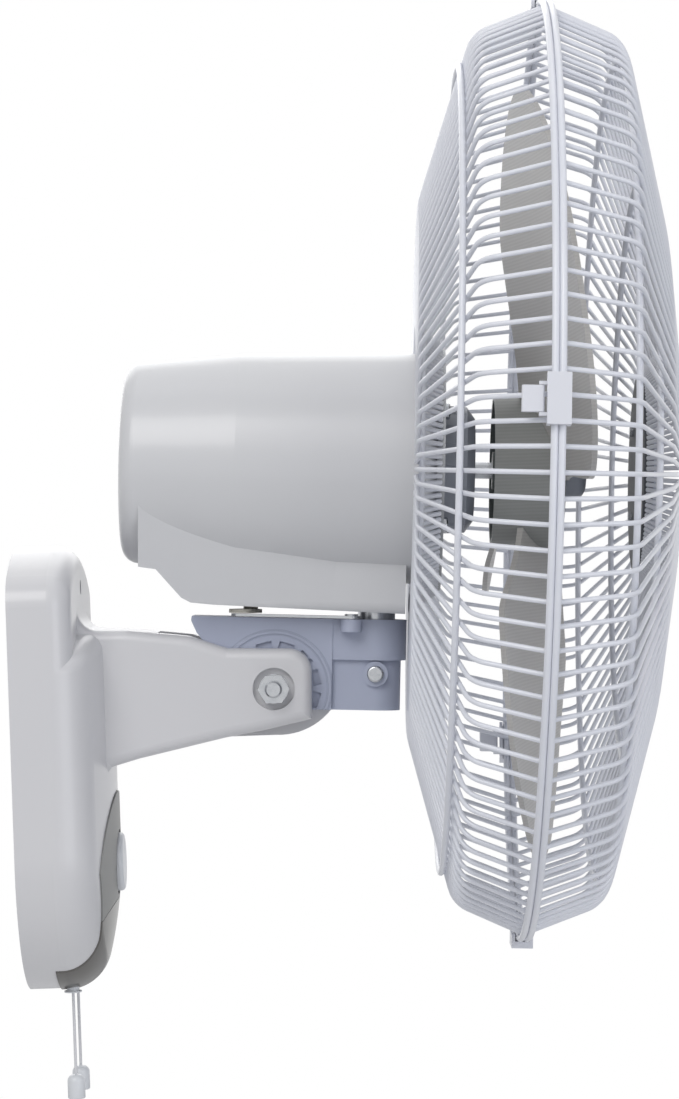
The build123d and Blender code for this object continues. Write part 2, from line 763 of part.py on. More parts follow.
link_low_z = bracket_top_z + 0.4
link_high_z = link_low_z + link_thickness
with BuildPart() as link_pin:
    with BuildSketch(Plane.XY.offset(bracket_top_z - 5)):
        with Locations((anchor_x, anchor_y)):
            Circle(link_pin_diameter / 2 - press_gap)
    extrude(amount=5 + 0.4 + link_thickness + 0.1)
    with BuildSketch(Plane.XY.offset(link_high_z + 0.1)):
        with Locations((anchor_x, anchor_y)):
            Circle(3.2)
    extrude(amount=0.8)

# ---------------------------------------------------------------- swing linkage
link_dx = crank_pin_x - anchor_x
link_dy = crank_pin_y - anchor_y
link_length = math.hypot(link_dx, link_dy)
link_angle = math.degrees(math.atan2(link_dy, link_dx))
link_plane = Plane.XY.offset(link_low_z)
with BuildPart() as swing_link:
    with BuildSketch(link_plane):
        with Locations(Location((anchor_x + link_dx / 2, anchor_y + link_dy / 2, 0), (0, 0, link_angle))):
            SlotCenterToCenter(link_length, 9.0)
        with Locations((anchor_x, anchor_y)):
            Circle(link_pin_diameter / 2 + running_gap, mode=Mode.SUBTRACT)
        with Locations((crank_pin_x, crank_pin_y)):
            Circle(link_pin_diameter / 2 + running_gap, mode=Mode.SUBTRACT)
    extrude(amount=link_thickness)

crank_low_z = link_high_z + 0.3
crank_high_z = gear_box_floor_z - 1.5
with BuildPart() as swing_crank:
    with BuildSketch(Plane.XY.offset(crank_low_z)):
        with Locations(
            Location(
                ((crank_x + crank_pin_x) / 2, crank_pin_y / 2, 0), (0, 0, crank_rest_angle)
            )
        ):
            SlotCenterToCenter(crank_throw, 11.0)
    extrude(amount=crank_high_z - crank_low_z)
    with BuildSketch(Plane.XY.offset(crank_high_z)):
        with Locations((crank_x, 0)):
            Circle(swing_shaft_diameter / 2)
    extrude(amount=gear_box_floor_z + housing_wall + 3 - crank_high_z)

# ---------------------------------------------------------------- motor housing
skirt_back_x = housing_back_x + 12
skirt_front_x = housing_middle_x + 48
gear_box_front_x = housing_front_x - 3
gear_box_low_z = gear_box_floor_z - gear_box_drop
corner_x = housing_back_x + 2.6


def barrel_radius(x):
    """Outer radius of the barrel at x."""
    if x < housing_middle_x:
        share = (x - corner_x) / (housing_middle_x - corner_x)
        return housing_radius_back + (housing_radius_middle - housing_radius_back) * share
    share = (x - housing_middle_x) / (housing_front_x - housing_middle_x)
    return housing_radius_middle + (housing_radius_front - housing_radius_middle) * share


def skirt_profile(x, tangent_angle, inset):
    """Corners of the skirt below the barrel at x, from the gear box's floor to the barrel's side."""
    turn = math.radians(tangent_angle)
    radius = barrel_radius(x) - inset - 0.4
    side_y = radius * math.cos(turn)
    side_z = fan_axis_z - radius * math.sin(turn)
    half = gear_box_half_width - inset
    floor_z = gear_box_low_z + inset
    return ((-half, floor_z), (half, floor_z), (side_y, side_z), (-side_y, side_z))


def housing_body(inset):
    """The closed motor housing: a barrel that flows down into the gear box below it."""
    with BuildPart() as skirt:
        for x, angle in ((skirt_back_x, 22), (skirt_front_x, 56)):
            with BuildSketch(Plane.YZ.offset(x)) as section:
                Polygon(*skirt_profile(x, angle, inset), align=None)
                fillet(section.vertices().group_by(Axis.Y)[0], gear_box_edge_radius - inset)
        loft(ruled=True)
        with BuildSketch(Plane.YZ.offset(skirt_front_x)) as section:
            Polygon(*skirt_profile(skirt_front_x, 56, inset), align=None)
            fillet(section.vertices().group_by(Axis.Y)[0], gear_box_edge_radius - inset)
        extrude(amount=gear_box_front_x - inset - skirt_front_x)
        with BuildSketch(Plane.XZ):
            with BuildLine():
                Polyline(
                    (skirt_back_x + inset, fan_axis_z),
                    (skirt_back_x + inset, 91.4 + inset),
                    (64.9 + inset, 90.4 + inset),
                    (77.0 + inset, 77.2 + inset),
                    (81.5 + inset, gear_box_floor_z + 1.4 + inset),
                    (92, gear_box_floor_z + 0.6 + inset),
                    (gear_box_front_x, gear_box_low_z + inset),
                    (gear_box_front_x, fan_axis_z),
                    close=True,
                )
            make_face()
        extrude(amount=base_width, both=True, mode=Mode.INTERSECT)
    with BuildPart() as body:
        with BuildSketch(Plane.XZ) as half:
            with BuildLine():
                Polyline(
                    (housing_back_x + inset, fan_axis_z),
                    (housing_back_x + 0.6 + inset, fan_axis_z + 20),
                    (corner_x + inset, fan_axis_z + housing_radius_back - inset),
                    (housing_middle_x, fan_axis_z + housing_radius_middle - inset),
                    (housing_front_x, fan_axis_z + housing_radius_front - inset),
                    (housing_front_x, fan_axis_z),
                    close=True,
                )
            make_face()
            bend = half.vertices().filter_by(lambda corner: abs(corner.X - corner_x - inset) < 0.01)
            fillet(bend, housing_corner_radius - inset)
        revolve(axis=fan_axis)
        add(skirt.part)
    return body.part


housing_outer = housing_body(0)
housing_inner = housing_body(housing_wall)
post_flange_z = gear_box_floor_z + 1.25
post_top_z = post_flange_z + 4
with BuildPart() as motor_housing:
    add(housing_outer)
    add(housing_inner, mode=Mode.SUBTRACT)
    with BuildSketch(Plane.XY.offset(crank_high_z - 1)):
        with Locations((crank_x, 0)):
            Circle(swing_shaft_diameter / 2 + 1.0)
    extrude(amount=8, mode=Mode.SUBTRACT)
    with BuildSketch(Plane.XY.offset(60)):
        with Locations((swivel_x, 0)):
            Circle(swivel_post_diameter / 2 + press_gap)
    extrude(amount=25, mode=Mode.SUBTRACT)

with BuildPart() as swivel_post:
    with BuildSketch(Plane.XY.offset(post_bottom_z)):
        with Locations((swivel_x, 0)):
            Circle(swivel_post_diameter / 2)
    extrude(amount=post_top_z - post_bottom_z)
    with BuildSketch(Plane.XY.offset(post_flange_z)):
        with Locations((swivel_x, 0)):
            Circle(swivel_post_diameter / 2 + 1.3)
    extrude(amount=post_top_z - post_flange_z)
    with BuildSketch(Plane.XY.offset(lock_screw_z - 2.6)):
        with Locations((swivel_x, 0)):
            Circle(swivel_post_diameter / 2 + 1)
            Circle(groove_radius, mode=Mode.SUBTRACT)
    extrude(amount=5.2, mode=Mode.SUBTRACT)
    with BuildSketch(Plane.XY.offset(post_bottom_z - 1)):
        with Locations((swivel_x, 0)):
            Circle(4.5)
    extrude(amount=80, mode=Mode.SUBTRACT)

with BuildPart() as front_cover:
    with BuildSketch(Plane.YZ.offset(housing_front_x)):
        with Locations((0, fan_axis_z)):
            Circle(housing_radius_front)
    extrude(amount=front_cover_x - housing_front_x)
    fillet(front_cover.faces().sort_by(Axis.X)[-1].edges(), 4)
    with BuildSketch(Plane.YZ.offset(housing_front_x)):
        with Locations((0, fan_axis_z)):
            Circle(housing_radius_front - housing_wall)
            Circle(bearing_outer_diameter / 2 + 3, mode=Mode.SUBTRACT)
    extrude(amount=front_cover_x - housing_front_x - housing_wall, mode=Mode.SUBTRACT)
    # threaded nose that carries the lock nut
    with BuildSketch(Plane.YZ.offset(front_cover_x)):
        with Locations((0, fan_axis_z)):
            Circle(15.0)
    extrude(amount=ring_nut_length + 2)
    with BuildSketch(Plane.YZ.offset(housing_front_x)):
        with Locations((0, fan_axis_z)):
            Circle(bearing_outer_diameter / 2 + press_gap)
    extrude(amount=bearing_width, mode=Mode.SUBTRACT)
    with BuildSketch(Plane.YZ.offset(housing_front_x)):
        with Locations((0, fan_axis_z)):
            Circle(shaft_diameter / 2 + 1.0)
    extrude(amount=60, mode=Mode.SUBTRACT)
    with BuildSketch(Plane.YZ.offset(front_cover_x)):
        with Locations((0, fan_axis_z)):
            with PolarLocations(guard_screw_circle / 2, 4, start_angle=45):
                Circle(2.0)
    extrude(amount=-12, mode=Mode.SUBTRACT)


def bearing(x0):
    """A ball bearing's outer form, x0 to x0 + its width."""
    with BuildPart() as race:
        with BuildSketch(Plane.YZ.offset(x0)):
            with Locations((0, fan_axis_z)):
                Circle(bearing_outer_diameter / 2)
                Circle(shaft_diameter / 2 + 0.03, mode=Mode.SUBTRACT)
        extrude(amount=bearing_width)
        for face_x in (x0, x0 + bearing_width - 0.4):
            with BuildSketch(Plane.YZ.offset(face_x)):
                with Locations((0, fan_axis_z)):
                    Circle(bearing_outer_diameter / 2 - 2)
                    Circle(shaft_diameter / 2 + 2, mode=Mode.SUBTRACT)
            extrude(amount=0.4, mode=Mode.SUBTRACT)
    return race.part


rear_bearing_x = 66.0
bridge_radius = barrel_radius(rear_bearing_x - 2) - housing_wall - seam_gap
with BuildPart() as bearing_bridge:
    with BuildSketch(Plane.YZ.offset(rear_bearing_x - 2)):
        with Locations((0, fan_axis_z)):
            Circle(bridge_radius)
    extrude(amount=bearing_width + 2)
    with BuildSketch(Plane.YZ.offset(rear_bearing_x)):
        with Locations((0, fan_axis_z)):
            Circle(bearing_outer_diameter / 2 + press_gap)
    extrude(amount=bearing_width, mode=Mode.SUBTRACT)
    with BuildSketch(Plane.YZ.offset(rear_bearing_x - 2)):
        with Locations((0, fan_axis_z)):
            Circle(shaft_diameter / 2 + 1.0)
            with PolarLocations(30, 6):
                Circle(9)
    extrude(amount=bearing_width + 2, mode=Mode.SUBTRACT)

stator_x0 = stator_centre_x - stator_length / 2
with BuildPart() as stator_core:
    with BuildSketch(Plane.YZ.offset(stator_x0)):
        with Locations((0, fan_axis_z)):
            Circle(stator_outer_diameter / 2)
            Circle(rotor_core_diameter / 2 + 0.5, mode=Mode.SUBTRACT)
            with PolarLocations(rotor_core_diameter / 2 + 7.5, 16):
                SlotOverall(11, 4.6, mode=Mode.SUBTRACT)
    extrude(amount=stator_length)

coils = []
coil_length = 13.0
for x0 in (stator_x0 - seam_gap - coil_length, stator_x0 + stator_length + seam_gap):
    with BuildPart() as coil:
        with BuildSketch(Plane.YZ.offset(x0)):
            with Locations((0, fan_axis_z)):
                Circle(rotor_core_diameter / 2 + 14)
                Circle(rotor_core_diameter / 2 + 2, mode=Mode.SUBTRACT)
        extrude(amount=coil_length)
        fillet(coil.edges().filter_by(GeomType.CIRCLE), 3)
    coils.append(coil.part)

with BuildPart() as stator_holder:
    with BuildSketch(Plane.YZ.offset(rear_bearing_x + bearing_width + 0.1)):
        with Locations((0, fan_axis_z)):
            Circle(bridge_radius)
            Circle(stator_outer_diameter / 2 + press_gap, mode=Mode.SUBTRACT)
    extrude(amount=stator_x0 + stator_length - rear_bearing_x - bearing_width)

swing_motor_z = gear_box_floor_z + housing_wall + 1.1
with BuildPart() as swing_motor:
    with BuildSketch(Plane.XY.offset(swing_motor_z)):
        with Locations((crank_x, 0)):
            Circle(swing_motor_diameter / 2)
    extrude(amount=swing_motor_height)
    with BuildSketch(Plane.XY.offset(swing_motor_z)):
        with Locations((crank_x, 0)):
            Circle(swing_shaft_diameter / 2 + running_gap)
    extrude(amount=6, mode=Mode.SUBTRACT)

# ---------------------------------------------------------------- rotor and blade
hub_back_x = ring_plane_x + hub_back_u
hub_front_x = hub_back_x + hub_length
shaft_front_x = hub_front_x + 6
with BuildPart() as plain_shaft:
    add(cylinder_x(rear_bearing_x - 3, shaft_front_x, shaft_diameter / 2, fan_axis_z))
    chamfer(plain_shaft.faces().sort_by(Axis.X)[-1].edges(), 0.8)

with BuildPart() as rotor_core:
    with BuildSketch(Plane.YZ.offset(stator_x0)):
        with Locations((0, fan_axis_z)):
            Circle(rotor_core_diameter / 2)
            Circle(shaft_diameter / 2, mode=Mode.SUBTRACT)
    extrude(amount=stator_length)

hub_radius = hub_diameter / 2
blade_tip_radius = guard_diameter / 2 - blade_tip_gap


def blade_height(angle):
    """How far in front of the rim plane the blade's middle lies at an angle."""
    share = (angle - blade_first_angle) / blade_arc
    sag = 2.5 * math.sin(math.pi * share)
    return blade_front_u + (blade_back_u - blade_front_u) * share + sag


def blade_point(radius, angle):
    """A point of the blade's middle surface; steeper and shallower near the hub."""
    reach = 0.55 + 0.45 * min(1.0, (radius - 20) / 90)
    middle = (blade_front_u + blade_back_u) / 2
    u = middle + (blade_height(angle) - middle) * reach
    turn = math.radians(angle)
    y = -radius * math.cos(turn)
    z = fan_axis_z + radius * math.sin(turn)
    return Vector(ring_plane_x + u, y, z)


grid_angles = [blade_first_angle - 6 + (blade_arc + 12) * i / 8 for i in range(9)]
grid_start = hub_radius - 12.6
grid_radii = [grid_start + (blade_tip_radius + 9 - grid_start) * i / 6 for i in range(7)]
blade_grid = [[blade_point(r, a) for a in grid_angles] for r in grid_radii]
blade_surface = Face.make_surface_from_array_of_points(blade_grid, tol=0.02, max_deg=5)
with BuildPart() as blade_sheet:
    thicken(to_thicken=blade_surface, amount=blade_thickness)

first = math.radians(blade_first_angle)
last = math.radians(blade_first_angle + blade_arc)


def polar(radius, angle):
    """A point of the blade's outline seen from the front."""
    turn = math.radians(blade_first_angle + angle)
    return (-radius * math.cos(turn), fan_axis_z + radius * math.sin(turn))


with BuildPart() as blade_prism:
    with BuildSketch(Plane.YZ.offset(ring_plane_x - 40)) as blade_outline:
        with BuildLine():
            Spline(
                polar(hub_radius - 2, -6),
                polar(hub_radius + 53, -1),
                polar(blade_tip_radius - 46, 1),
                polar(blade_tip_radius - 14, 6),
                polar(blade_tip_radius, 22),
            )
            ThreePointArc(
                polar(blade_tip_radius, 22),
                polar(blade_tip_radius, 48),
                polar(blade_tip_radius, 72),
            )
            Spline(
                polar(blade_tip_radius, 72),
                polar(blade_tip_radius - 16, 83),
                polar(blade_tip_radius - 51, 87),
                polar(hub_radius + 53, 84),
                polar(hub_radius - 2, 74),
            )
            Line(polar(hub_radius - 2, 74), polar(hub_radius - 2, -6))
        make_face()
    extrude(amount=80)

with BuildPart() as one_blade:
    add(blade_sheet.part)
    add(blade_prism.part, mode=Mode.INTERSECT)

drive_pin_x = hub_back_x + 5
with BuildPart() as hub:
    with BuildSketch(Plane.YZ.offset(hub_back_x)):
        with Locations((0, fan_axis_z)):
            Circle(hub_radius)
    extrude(amount=hub_length)
    fillet(hub.faces().sort_by(Axis.X)[-1].edges(), 5)
    with BuildSketch(Plane.YZ.offset(hub_back_x)):
        with Locations((0, fan_axis_z)):
            Circle(hub_radius - 3)
            Circle(9, mode=Mode.SUBTRACT)
    extrude(amount=hub_length - 3, mode=Mode.SUBTRACT)

with BuildPart() as fan_blade:
    add(hub.part)
    for i in range(blade_count):
        add(one_blade.part.rotate(fan_axis, -360 / blade_count * i))
    with BuildSketch(Plane.YZ.offset(hub_back_x - 1)):
        with Locations((0, fan_axis_z)):
            Circle(shaft_diameter / 2 + running_gap)
    extrude(amount=hub_length + 2, mode=Mode.SUBTRACT)
    with BuildSketch(Plane.XZ):
        with Locations((drive_pin_x, fan_axis_z)):
            Circle(1.6)
    extrude(amount=8.2, both=True, mode=Mode.SUBTRACT)

with BuildPart() as drive_pin:
    with BuildSketch(Plane.XZ):
        with Locations((drive_pin_x, fan_axis_z)):
            Circle(1.5)
    extrude(amount=8, both=True)

with BuildPart() as motor_shaft:
    add(plain_shaft.part)
    add(drive_pin.part, mode=Mode.SUBTRACT)

with BuildPart() as blade_nut:
    add(cylinder_x(hub_front_x + 0.1, hub_front_x + 11, 13.0, fan_axis_z))
    fillet(blade_nut.faces().sort_by(Axis.X)[-1].edges(), 6.0)
    with BuildSketch(Plane.YZ.offset(hub_front_x)):
        with Locations((0, fan_axis_z)):
            Circle(shaft_diameter / 2)
    extrude(amount=shaft_front_x - hub_front_x + 0.1, mode=Mode.SUBTRACT)

# ---------------------------------------------------------------- guards
rim_radius = guard_diameter / 2 - rim_wire / 2
wire_start_radius = rim_radius - rim_wire / 2 - guard_wire / 2 - press_gap
plate_edge_radius = guard_plate_diameter / 2
rear_end_radius = plate_edge_radius + guard_wire / 2 + press_gap
plate_back_u = guard_plate_front_x - guard_plate_thickness - ring_plane_x
rear_route = (
    (-1.0, wire_start_radius), (-33.0, wire_start_radius - 13.2), (-rear_guard_depth, rear_face_radius),
    (-rear_guard_depth, plate_edge_radius + 8.7), (plate_back_u + 1.2, rear_end_radius),
)
rear_bends = (14.0, 25.0, 3.2)
badge_edge_radius = badge_diameter / 2
front_end_radius = badge_edge_radius + guard_wire / 2 + press_gap
front_route = (
    (1.0, wire_start_radius), (36.0, wire_start_radius - 14.2), (57.0, front_face_radius),
    (front_guard_depth, badge_edge_radius + 16), (badge_back_u + 1.6, front_end_radius),
)
front_bends = (14.0, 60.0, 4.0)


def bent_wire(points, bends):
    """Straight runs of guard wire joined by tangent arcs."""
    run = Vector(*points[1]) - Vector(*points[0])
    with BuildPart() as wire:
        with BuildLine() as path:
            FilletPolyline(*points, radius=list(bends))
        with BuildSketch(Plane(origin=points[0], z_dir=run)):
            Circle(guard_wire / 2)
        sweep(path=path.line)
    return wire.part


def guard_spoke(route, bends):
    """One guard wire above the fan axis, as an outer and an inner length that meet end to end."""
    points = [(ring_plane_x + u, 0, fan_axis_z + radius) for u, radius in route]
    middle = tuple((a + b) / 2 for a, b in zip(points[1], points[2]))
    return group([bent_wire(points[:2] + [middle], bends[:1]), bent_wire([middle] + points[2:], bends[1:])])


wire_angles = [360 / wire_count * i for i in range(wire_count)]
rear_spoke = guard_spoke(rear_route, rear_bends)
front_spoke = guard_spoke(front_route, front_bends)
hoop_offset = (guard_wire + hoop_wire) / 2 + press_gap


def on_route(route, index, share):
    """A point part of the way along one run of a wire's route, and the run's direction."""
    (u0, r0), (u1, r1) = route[index], route[index + 1]
    length = math.hypot(u1 - u0, r1 - r0)
    return u0 + (u1 - u0) * share, r0 + (r1 - r0) * share, (u1 - u0) / length, (r1 - r0) / length


def hoop_beside(route, index, share, side):
    """Arcs of a hoop that lies against the wires, outside (1) or inside (-1) of them."""
    u, r, du, dr = on_route(route, index, share)
    return hoop_arcs(u + side * dr * hoop_offset, r - side * du * hoop_offset, hoop_wire)


rear_hoops = hoop_beside(rear_route, 1, 0.19, 1) + hoop_beside(rear_route, 2, 0.93, -1)
front_hoops = hoop_beside(front_route, 1, 0.11, 1) + hoop_beside(front_route, 1, 0.76, 1)
rear_rim = hoop_arcs(-rim_wire / 2 - 0.02, rim_radius, rim_wire)
front_rim = hoop_arcs(rim_wire / 2 + 0.02, rim_radius, rim_wire)

with BuildPart() as guard_plate:
    with BuildSketch(Plane.YZ.offset(front_cover_x + 0.1)):
        with Locations((0, fan_axis_z)):
            Circle(plate_edge_radius)
            Circle(15.3, mode=Mode.SUBTRACT)
            with PolarLocations(guard_screw_circle / 2, 4, start_angle=45):
                Circle(2.3, mode=Mode.SUBTRACT)
    extrude(amount=guard_plate_front_x - front_cover_x - 0.1)

with BuildPart() as guard_screw:
    with BuildSketch(Plane.YZ.offset(front_cover_x - 8)):
        with Locations((0, fan_axis_z + guard_screw_circle / 2)):
            Circle(1.95)
    extrude(amount=guard_plate_front_x - front_cover_x + 8)
    with BuildSketch(Plane.YZ.offset(guard_plate_front_x)):
        with Locations((0, fan_axis_z + guard_screw_circle / 2)):
            Circle(3.8)
    extrude(amount=2.6)
    fillet(guard_screw.faces().sort_by(Axis.X)[-1].edges(), 1.0)

nut_start_x = guard_plate_front_x + 0.1
with BuildPart() as ring_nut:
    with BuildSketch(Plane.XZ):
        with BuildLine():
            Polyline(
                (nut_start_x, fan_axis_z + 15.1),
                (nut_start_x, fan_axis_z + ring_nut_diameter / 2),
                (nut_start_x + ring_nut_length - 4, fan_axis_z + ring_nut_diameter / 2 - 0.6),
                (nut_start_x + ring_nut_length, fan_axis_z + ring_nut_diameter / 2 - 6),
                (nut_start_x + ring_nut_length, fan_axis_z + 18),
                (nut_start_x + ring_nut_length - 5, fan_axis_z + 15.1),
                close=True,
            )
        make_face()
    revolve(axis=fan_axis)
    with BuildSketch(Plane.YZ.offset(nut_start_x)):
        with Locations((0, fan_axis_z)):
            with PolarLocations(ring_nut_diameter / 2 + 0.6, 18):
                Circle(1.5)
    extrude(amount=ring_nut_length, mode=Mode.SUBTRACT)

badge_back_x = ring_plane_x + badge_back_u
badge_split_x = ring_plane_x + badge_split_u
with BuildPart() as badge_plate:
    with BuildSketch(Plane.YZ.offset(badge_back_x)):
        with Locations((0, fan_axis_z)):
            Circle(badge_edge_radius)
            with PolarLocations(30, 4, start_angle=45):
                Circle(1.7, mode=Mode.SUBTRACT)
    extrude(amount=badge_split_x - badge_back_x - 0.02)

with BuildPart() as badge_cap:
    with BuildSketch(Plane.YZ.offset(badge_split_x)):
        with Locations((0, fan_axis_z)):
            Circle(badge_edge_radius)
    extrude(amount=badge_front_u - badge_split_u)
    fillet(badge_cap.faces().sort_by(Axis.X)[-1].edges(), 2.2)
    with BuildSketch(Plane.YZ.offset(badge_split_x)):
        with Locations((0, fan_axis_z)):
            with PolarLocations(30, 4, start_angle=45):
                Circle(1.2)
    extrude(amount=2.6, mode=Mode.SUBTRACT)

with BuildPart() as badge_screw:
    with BuildSketch(Plane.YZ.offset(badge_back_x - 1.8)):
        with Locations((0, fan_axis_z + 30)):
            Circle(2.8)
    extrude(amount=1.8)
    with BuildSketch(Plane.YZ.offset(badge_back_x)):
        with Locations((0, fan_axis_z + 30)):
            Circle(1.18)
    extrude(amount=badge_split_x - badge_back_x + 2.4)

# ---------------------------------------------------------------- rim clips
clip_inner = guard_diameter / 2 + 0.1
clip_outer = clip_inner + 3.2
clip_half_u = rim_wire + 1.9


lever_pivot_u = -clip_half_u - 2.2
lever_pivot_r = clip_inner - 0.6
lever_half_width = 5.6
lever_half_height = 1.3
ear_thickness = 1.5
lever_pin_radius = 0.6


def rim_clip(angle, hinged):
    """A saddle over both rims; a hinged one has two ears and a pin for its lever."""
    with BuildPart() as clip:
        with BuildSketch(Plane.XZ):
            with Locations((ring_plane_x, fan_axis_z + (clip_inner + clip_outer) / 2)):
                Rectangle(2 * clip_half_u, clip_outer - clip_inner)
            for side in (-1, 1):
                with Locations(
                    (ring_plane_x + side * (clip_half_u - 0.8), fan_axis_z + clip_inner - 1.6)
                ):
                    Rectangle(1.6, 3.4)
        extrude(amount=clip_width / 2, both=True)
        if hinged:
            for side in (-1, 1):
                with BuildSketch(Plane.XZ.offset(side * (lever_half_width + 0.2))):
                    with Locations(
                        (ring_plane_x + lever_pivot_u + 0.9, fan_axis_z + lever_pivot_r)
                    ):
                        Rectangle(4.0, 2 * lever_half_height)
                extrude(amount=side * ear_thickness)
            with BuildSketch(Plane.XZ):
                with Locations((ring_plane_x + lever_pivot_u, fan_axis_z + lever_pivot_r)):
                    Circle(lever_pin_radius)
            extrude(amount=lever_half_width + 1, both=True)
    return clip.part.rotate(fan_axis, -(angle - 90))


def clip_lever(angle):
    """The snap lever on a clip, hung on the pin at the clip's rear edge."""
    with BuildPart() as lever:
        with BuildSketch(Plane.XZ) as lever_side:
            with Locations((ring_plane_x + lever_pivot_u - 3.6, fan_axis_z + lever_pivot_r)):
                Rectangle(9.6, 2 * lever_half_height)
            fillet(lever_side.vertices(), 1.1)
            with Locations((ring_plane_x + lever_pivot_u, fan_axis_z + lever_pivot_r)):
                Circle(lever_pin_radius + running_gap, mode=Mode.SUBTRACT)
        extrude(amount=lever_half_width, both=True)
    return lever.part.rotate(fan_axis, -(angle - 90))


hinged_clip_angles = (6.4, 218.6)
plain_clip_angles = (90.0, 270.0)

# ---------------------------------------------------------------- writing the pieces
save(base_housing.part, "base_housing")
save(wall_plate.part, "wall_plate")
save(base_screw.part, "base_screw")
save(control_panel.part, "control_panel")
save(bottom_cover.part, "bottom_cover")
save(speed_switch.part, "speed_switch")
save(knob_spindle.part, "knob_spindle")
save(speed_knob.part, "speed_knob")
save(terminal_block.part, "terminal_block")
save(run_capacitor.part, "run_capacitor")
save(inlet_grommet.part, "inlet_grommet")
save(tilt_bolt.part, "tilt_bolt")
save(tilt_nut.part, "tilt_nut")
save(group(washers), "tilt_washers")
save(tilt_bracket.part, "tilt_bracket", on_head=True)
save(swivel_bush.part, "swivel_bush", on_head=True)
save(lock_screw.part, "lock_screw", on_head=True)
save(link_pin.part, "link_pin", on_head=True)
save(swing_link.part, "swing_link", on_head=True)
save(swing_crank.part, "swing_crank", on_head=True)
save(motor_housing.part, "motor_housing", on_head=True)
save(swivel_post.part, "swivel_post", on_head=True)
save(front_cover.part, "front_cover", on_head=True)
save(bearing(housing_front_x), "front_bearing", on_head=True)
save(bearing(rear_bearing_x), "rear_bearing", on_head=True)
save(bearing_bridge.part, "bearing_bridge", on_head=True)
save(stator_core.part, "stator_core", on_head=True)
save(stator_holder.part, "stator_holder", on_head=True)
save(group(coils), "stator_windings", on_head=True)
save(swing_motor.part, "swing_motor", on_head=True)
save(motor_shaft.part, "motor_shaft", on_head=True)
save(rotor_core.part, "rotor_core", on_head=True)
save(fan_blade.part, "fan_blade", on_head=True)
save(drive_pin.part, "drive_pin", on_head=True)
save(blade_nut.part, "blade_nut", on_head=True)
save(group(around(rear_spoke, wire_angles) + rear_hoops + rear_rim), "rear_guard", on_head=True)
save(group(around(front_spoke, wire_angles) + front_hoops + front_rim), "front_guard", on_head=True)
save(guard_plate.part, "guard_plate", on_head=True)
save(group(around(guard_screw.part, [45, 135, 225, 315])), "guard_screws", on_head=True)
save(ring_nut.part, "ring_nut", on_head=True)
save(badge_plate.part, "badge_plate", on_head=True)
save(badge_cap.part, "badge_cap", on_head=True)
save(group(around(badge_screw.part, [45, 135, 225, 315])), "badge_screws", on_head=True)
rim_clips = [rim_clip(angle, True) for angle in hinged_clip_angles]
rim_clips += [rim_clip(angle, False) for angle in plain_clip_angles]
save(group(rim_clips), "guard_clips", on_head=True)
save(clip_lever(hinged_clip_angles[0]), "near_clip_lever", on_head=True)
save(clip_lever(hinged_clip_angles[1]), "far_clip_lever", on_head=True)
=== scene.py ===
"""Looks for the wall mounted fan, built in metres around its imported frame."""

import json
import logging
import math
from dataclasses import dataclass, field
from enum import Enum
from typing import Any

import bmesh
import bpy
from mathutils import Matrix, Vector


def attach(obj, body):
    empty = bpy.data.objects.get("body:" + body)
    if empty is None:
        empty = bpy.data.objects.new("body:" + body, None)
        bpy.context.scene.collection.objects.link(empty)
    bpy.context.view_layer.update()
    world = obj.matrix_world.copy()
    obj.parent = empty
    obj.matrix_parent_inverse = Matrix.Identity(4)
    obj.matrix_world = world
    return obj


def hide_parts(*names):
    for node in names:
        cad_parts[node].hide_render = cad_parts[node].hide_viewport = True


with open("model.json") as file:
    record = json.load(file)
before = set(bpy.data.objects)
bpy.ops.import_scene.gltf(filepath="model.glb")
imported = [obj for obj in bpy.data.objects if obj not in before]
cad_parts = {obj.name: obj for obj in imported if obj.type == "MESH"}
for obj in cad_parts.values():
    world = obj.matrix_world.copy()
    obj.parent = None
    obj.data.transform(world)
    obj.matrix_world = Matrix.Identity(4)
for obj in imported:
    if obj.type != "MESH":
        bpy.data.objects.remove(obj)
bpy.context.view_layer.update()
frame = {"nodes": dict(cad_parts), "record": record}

LOG = logging.getLogger("wall_fan")
MM = 0.001
# Period in metres of Blender's band wave at a scale of 1.
WAVE_PERIOD = 0.314
# A corner within this many metres of a height lies at it.
LEVEL_REACH = 1e-5

Point = tuple[float, float, float]
Colour = tuple[float, float, float, float]
WHITE: Colour = (1.0, 1.0, 1.0, 1.0)


class Body(str, Enum):
    """The rigid bodies that pieces ride on."""

    BASE = "base"
    BRACKET = "bracket"
    HEAD = "head"
    ROTOR = "rotor"
    CRANK = "crank"
    LINK = "link"
    KNOB = "knob"
    NEAR_LEVER = "near_lever"
    FAR_LEVER = "far_lever"
    SPEED_PULL = "speed_pull"
    SWING_PULL = "swing_pull"


def linear(code: str) -> Colour:
    """Turn a colour as seen on screen into the light it stands for.

    Args:
        code: six hexadecimal digits, red, green and blue.

    Returns:
        The linear colour with full alpha.
    """
    parts = [int(code[i : i + 2], 16) / 255 for i in (0, 2, 4)]
    return (*((c / 12.92 if c <= 0.04045 else ((c + 0.055) / 1.055) ** 2.4) for c in parts), 1.0)


